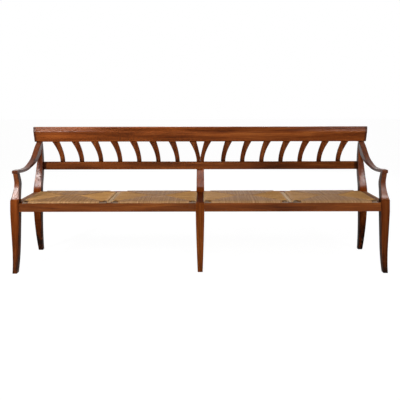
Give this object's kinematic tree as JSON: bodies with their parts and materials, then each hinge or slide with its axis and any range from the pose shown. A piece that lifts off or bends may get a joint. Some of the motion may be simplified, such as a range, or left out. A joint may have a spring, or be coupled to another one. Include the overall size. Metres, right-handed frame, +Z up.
{
  "type": "bench",
  "caption": "Long wooden hall bench with swept open arms, a low curved-slat back, tapered legs and lift-out rush seats.",
  "frame": {"origin": "on the floor under the middle of the bench's bounding box", "axes": "+X along the bench to the sitter's left as seen from the front, the front faces -Y, +Z up"},
  "size_m": [2.534, 0.5978, 0.9275],
  "materials": {
    "polished_walnut": "polished",
    "seat_frame_wood": "bare, worn",
    "rush": "woven, matte"
  },
  "bodies": {
    "frame": {"arm_left": "polished_walnut", "arm_right": "polished_walnut", "crest_rail": "polished_walnut", "cross_rail_centre": "polished_walnut", "cross_rail_left": "polished_walnut", "cross_rail_right": "polished_walnut", "front_leg_centre": "polished_walnut", "front_leg_left": "polished_walnut", "front_leg_right": "polished_walnut", "front_rail_left": "polished_walnut", "front_rail_right": "polished_walnut", "lower_back_rail": "polished_walnut", "rear_rail_left": "polished_walnut", "rear_rail_right": "polished_walnut", "rear_stile_centre": "polished_walnut", "rear_stile_left": "polished_walnut", "rear_stile_right": "polished_walnut", "side_rail_left": "polished_walnut", "side_rail_right": "polished_walnut", "slat_left_1": "polished_walnut", "slat_left_2": "polished_walnut", "slat_left_3": "polished_walnut", "slat_left_4": "polished_walnut", "slat_left_5": "polished_walnut", "slat_left_6": "polished_walnut", "slat_left_7": "polished_walnut", "slat_left_8": "polished_walnut", "slat_right_1": "polished_walnut", "slat_right_2": "polished_walnut", "slat_right_3": "polished_walnut", "slat_right_4": "polished_walnut", "slat_right_5": "polished_walnut", "slat_right_6": "polished_walnut", "slat_right_7": "polished_walnut", "slat_right_8": "polished_walnut"},
    "seat_1": {"seat_1_list_front": "seat_frame_wood", "seat_1_list_left": "seat_frame_wood", "seat_1_list_rear": "seat_frame_wood", "seat_1_list_right": "seat_frame_wood", "seat_1_rush": "rush"},
    "seat_2": {"seat_2_list_front": "seat_frame_wood", "seat_2_list_left": "seat_frame_wood", "seat_2_list_rear": "seat_frame_wood", "seat_2_list_right": "seat_frame_wood", "seat_2_rush": "rush"},
    "seat_3": {"seat_3_list_front": "seat_frame_wood", "seat_3_list_left": "seat_frame_wood", "seat_3_list_rear": "seat_frame_wood", "seat_3_list_right": "seat_frame_wood", "seat_3_rush": "rush"},
    "seat_4": {"seat_4_list_front": "seat_frame_wood", "seat_4_list_left": "seat_frame_wood", "seat_4_list_rear": "seat_frame_wood", "seat_4_list_right": "seat_frame_wood", "seat_4_rush": "rush"}
  },
  "joints": [
    {"name": "seat_1_lift", "type": "slide", "parent": "frame", "child": "seat_1", "axis": [0, 0, 1], "range_m": [0, 0.15]},
    {"name": "seat_2_lift", "type": "slide", "parent": "frame", "child": "seat_2", "axis": [0, 0, 1], "range_m": [0, 0.15]},
    {"name": "seat_3_lift", "type": "slide", "parent": "frame", "child": "seat_3", "axis": [0, 0, 1], "range_m": [0, 0.15]},
    {"name": "seat_4_lift", "type": "slide", "parent": "frame", "child": "seat_4", "axis": [0, 0, 1], "range_m": [0, 0.15]}
  ]
}
